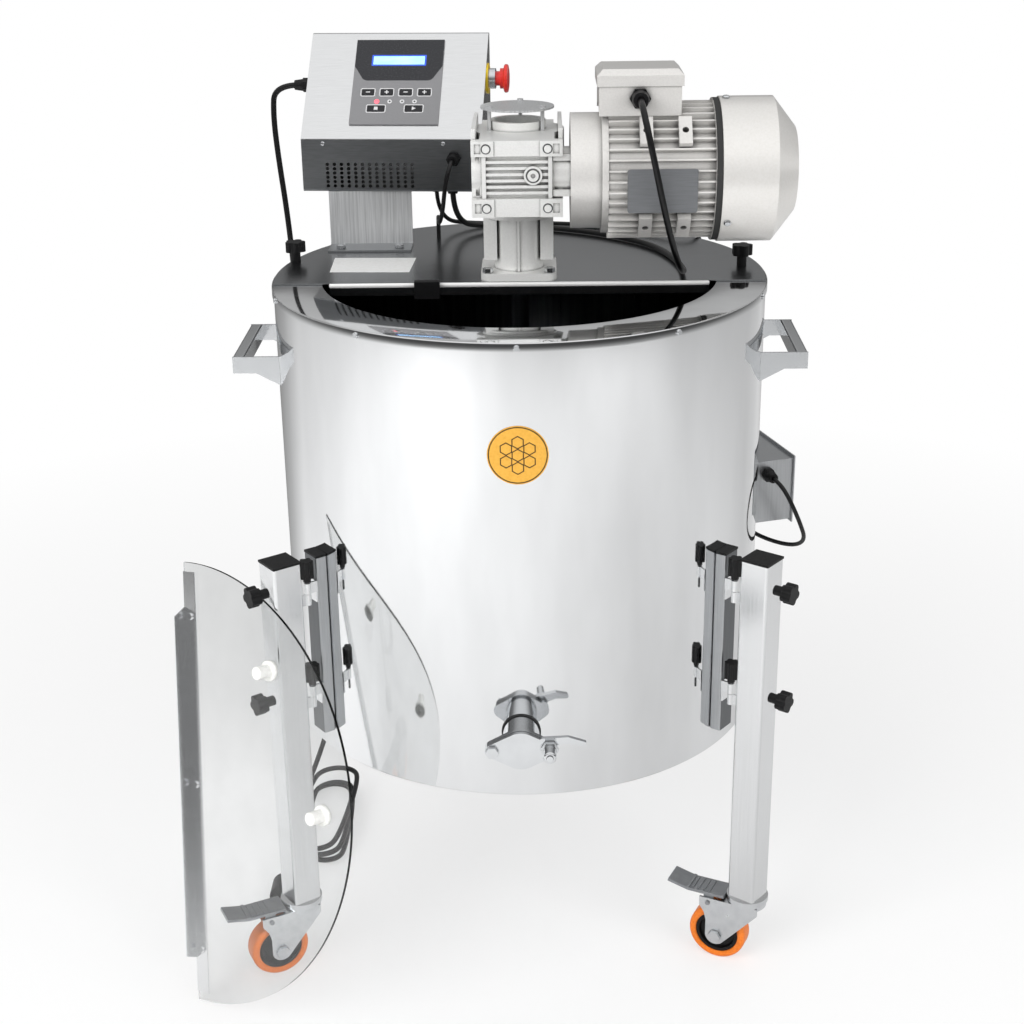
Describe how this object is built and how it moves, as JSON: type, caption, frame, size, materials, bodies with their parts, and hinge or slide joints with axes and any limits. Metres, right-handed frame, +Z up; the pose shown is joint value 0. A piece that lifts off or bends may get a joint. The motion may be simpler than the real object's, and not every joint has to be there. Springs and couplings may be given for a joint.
{
  "type": "honey creamer",
  "caption": "Round steel mixing tank on caster legs with a worm-geared stirrer, sloped control box, swinging honey gate and a clear half lid leaning on a leg",
  "frame": {"origin": "tank axis at floor level", "axes": "+Z up along the tank axis, -Y towards the honey gate and the viewer, +X towards the motor"},
  "size_m": [0.855, 0.8566, 1.1935],
  "materials": {
    "polished_steel": "mirror-polished stainless steel",
    "brushed_steel": "fine-brushed stainless steel",
    "zinc_steel": "bright zinc-plated pressed steel",
    "black_rubber": "matt rubber",
    "silicone_mat": "moulded silicone",
    "black_plastic": "matt moulded plastic",
    "white_plastic": "smooth moulded plastic",
    "clear_acrylic": "clear cast acrylic sheet",
    "cast_aluminium": "die-cast, silver-painted",
    "motor_paint": "silver paint on ribbed casting",
    "fan_cover_paint": "satin silver paint",
    "bronze": "machined bronze",
    "dark_steel": "machined steel",
    "panel_film": "satin membrane film",
    "key_plastic": "satin membrane key",
    "red_plastic": "smooth moulded plastic",
    "orange_tyre": "cast polyurethane tyre on a black hub",
    "cord_black": "soft cord sheath"
  },
  "bodies": {
    "machine": {"outer_jacket": "polished_steel", "inner_tank": "polished_steel", "rim_ring": "polished_steel", "cover_plate": "polished_steel", "rim_screws": "brushed_steel", "handles": "brushed_steel", "outlet_spout": "brushed_steel", "gearbox_cap": "brushed_steel", "control_box": "brushed_steel", "control_stand": "brushed_steel", "leg_brackets": "brushed_steel", "hinge_pins": "brushed_steel", "junction_box": "brushed_steel", "heating_mat": "silicone_mat", "gate_seal": "black_rubber", "lid_switch": "black_plastic", "star_knobs": "black_plastic", "mains_plug": "black_plastic", "gearbox_pedestal": "cast_aluminium", "gearbox_housing": "cast_aluminium", "motor_housing": "motor_paint", "terminal_box": "motor_paint", "fan_cover": "fan_cover_paint", "control_panel": "panel_film", "mains_lead": "cord_black", "mains_coil": "cord_black", "motor_lead": "cord_black", "heater_lead": "cord_black", "switch_lead": "cord_black"},
    "stirring": {"stirrer": "brushed_steel", "worm_wheel": "bronze"},
    "motor_shaft": {"worm_shaft": "dark_steel", "motor_rotor": "dark_steel"},
    "gate": {"gate_plate": "brushed_steel"},
    "clamp_nut": {"gate_clamp_nut": "brushed_steel"},
    "stop_button": {"estop_button": "red_plastic"},
    "lid": {"lid_sheet": "clear_acrylic", "lid_strip": "polished_steel", "lid_knobs": "white_plastic"},
    "key_1": {"key_1": "key_plastic"},
    "key_2": {"key_2": "key_plastic"},
    "key_3": {"key_3": "key_plastic"},
    "key_4": {"key_4": "key_plastic"},
    "key_5": {"key_5": "key_plastic"},
    "key_6": {"key_6": "key_plastic"},
    "leg_left": {"leg_tube_left": "brushed_steel", "leg_knobs_left": "black_plastic"},
    "caster_left": {"caster_fork_left": "zinc_steel"},
    "wheel_left": {"wheel_left": "orange_tyre"},
    "pedal_left": {"brake_pedal_left": "zinc_steel"},
    "leg_right": {"leg_tube_right": "brushed_steel", "leg_knobs_right": "black_plastic"},
    "caster_right": {"caster_fork_right": "zinc_steel"},
    "wheel_right": {"wheel_right": "orange_tyre"},
    "pedal_right": {"brake_pedal_right": "zinc_steel"},
    "leg_rear": {"leg_tube_rear": "brushed_steel", "leg_knobs_rear": "black_plastic"},
    "caster_rear": {"caster_fork_rear": "zinc_steel"},
    "wheel_rear": {"wheel_rear": "orange_tyre"},
    "pedal_rear": {"brake_pedal_rear": "zinc_steel"}
  },
  "joints": [
    {"name": "motor_spin", "type": "hinge", "parent": "machine", "child": "motor_shaft", "pos_m": [0, -0.063, 1.062], "axis": [1, 0, 0], "continuous": true},
    {"name": "stirrer_spin", "type": "hinge", "parent": "machine", "child": "stirring", "pos_m": [0, 0, 0.7], "axis": [0, 0, 1], "continuous": true},
    {"name": "leg_swing_left", "type": "hinge", "parent": "machine", "child": "leg_left", "pos_m": [-0.27191, -0.22397, 0.483], "axis": [0, 0, 1], "range_deg": [0, 25]},
    {"name": "caster_swivel_left", "type": "hinge", "parent": "leg_left", "child": "caster_left", "pos_m": [-0.30427, -0.23096, 0.097], "axis": [0, 0, 1], "continuous": true},
    {"name": "wheel_roll_left", "type": "hinge", "parent": "caster_left", "child": "wheel_left", "pos_m": [-0.33819, -0.24809, 0.04], "axis": [0.4509, -0.8926, 0], "continuous": true},
    {"name": "brake_press_left", "type": "hinge", "parent": "caster_left", "child": "pedal_left", "pos_m": [-0.3489, -0.2535, 0.09], "axis": [0.4509, -0.8926, 0], "range_deg": [0, 10]},
    {"name": "leg_swing_right", "type": "hinge", "parent": "machine", "child": "leg_right", "pos_m": [0.27191, -0.22397, 0.483], "axis": [0, 0, 1], "range_deg": [-90, 0]},
    {"name": "caster_swivel_right", "type": "hinge", "parent": "leg_right", "child": "caster_right", "pos_m": [0.30427, -0.23096, 0.097], "axis": [0, 0, 1], "continuous": true},
    {"name": "wheel_roll_right", "type": "hinge", "parent": "caster_right", "child": "wheel_right", "pos_m": [0.26978, -0.21502, 0.04], "axis": [-0.4195, -0.9078, 0], "continuous": true},
    {"name": "brake_press_right", "type": "hinge", "parent": "caster_right", "child": "pedal_right", "pos_m": [0.25888, -0.20998, 0.09], "axis": [-0.4195, -0.9078, 0], "range_deg": [0, 10]},
    {"name": "leg_swing_rear", "type": "hinge", "parent": "machine", "child": "leg_rear", "pos_m": [0.014, 0.352, 0.483], "axis": [0, 0, 1], "range_deg": [-90, 0]},
    {"name": "caster_swivel_rear", "type": "hinge", "parent": "leg_rear", "child": "caster_rear", "pos_m": [0, 0.382, 0.097], "axis": [0, 0, 1], "continuous": true},
    {"name": "wheel_roll_rear", "type": "hinge", "parent": "caster_rear", "child": "wheel_rear", "pos_m": [-0.038, 0.382, 0.04], "axis": [0, -1, 0], "continuous": true},
    {"name": "brake_press_rear", "type": "hinge", "parent": "caster_rear", "child": "pedal_rear", "pos_m": [-0.05, 0.382, 0.09], "axis": [0, -1, 0], "range_deg": [0, 10]},
    {"name": "gate_swing", "type": "hinge", "parent": "machine", "child": "gate", "pos_m": [-0.0355, -0.369, 0.409], "axis": [0, -1, 0], "range_deg": [0, 85]},
    {"name": "clamp_nut_turn", "type": "hinge", "parent": "machine", "child": "clamp_nut", "pos_m": [0.0355, -0.385, 0.414], "axis": [0, -1, 0], "range_deg": [0, 300]},
    {"name": "stop_press", "type": "slide", "parent": "machine", "child": "stop_button", "axis": [-0.9969, 0.0785, 0], "range_m": [0, 0.005]},
    {"name": "key_press_1", "type": "slide", "parent": "machine", "child": "key_1", "axis": [0.0567, 0.7203, -0.6914], "range_m": [0, 0.0006], "stiffness_N_per_m": 900},
    {"name": "key_press_2", "type": "slide", "parent": "machine", "child": "key_2", "axis": [0.0567, 0.7203, -0.6914], "range_m": [0, 0.0006], "stiffness_N_per_m": 900},
    {"name": "key_press_3", "type": "slide", "parent": "machine", "child": "key_3", "axis": [0.0567, 0.7203, -0.6914], "range_m": [0, 0.0006], "stiffness_N_per_m": 900},
    {"name": "key_press_4", "type": "slide", "parent": "machine", "child": "key_4", "axis": [0.0567, 0.7203, -0.6914], "range_m": [0, 0.0006], "stiffness_N_per_m": 900},
    {"name": "key_press_5", "type": "slide", "parent": "machine", "child": "key_5", "axis": [0.0567, 0.7203, -0.6914], "range_m": [0, 0.0006], "stiffness_N_per_m": 900},
    {"name": "key_press_6", "type": "slide", "parent": "machine", "child": "key_6", "axis": [0.0567, 0.7203, -0.6914], "range_m": [0, 0.0006], "stiffness_N_per_m": 900},
    {"name": "lid_take_away", "type": "slide", "parent": "leg_left", "child": "lid", "axis": [-0.6316, -0.7753, 0], "range_m": [0, 0.25]}
  ],
  "couplings": [
    {"joint": "stirrer_spin", "follows": "motor_spin", "ratio": -0.033333}
  ]
}
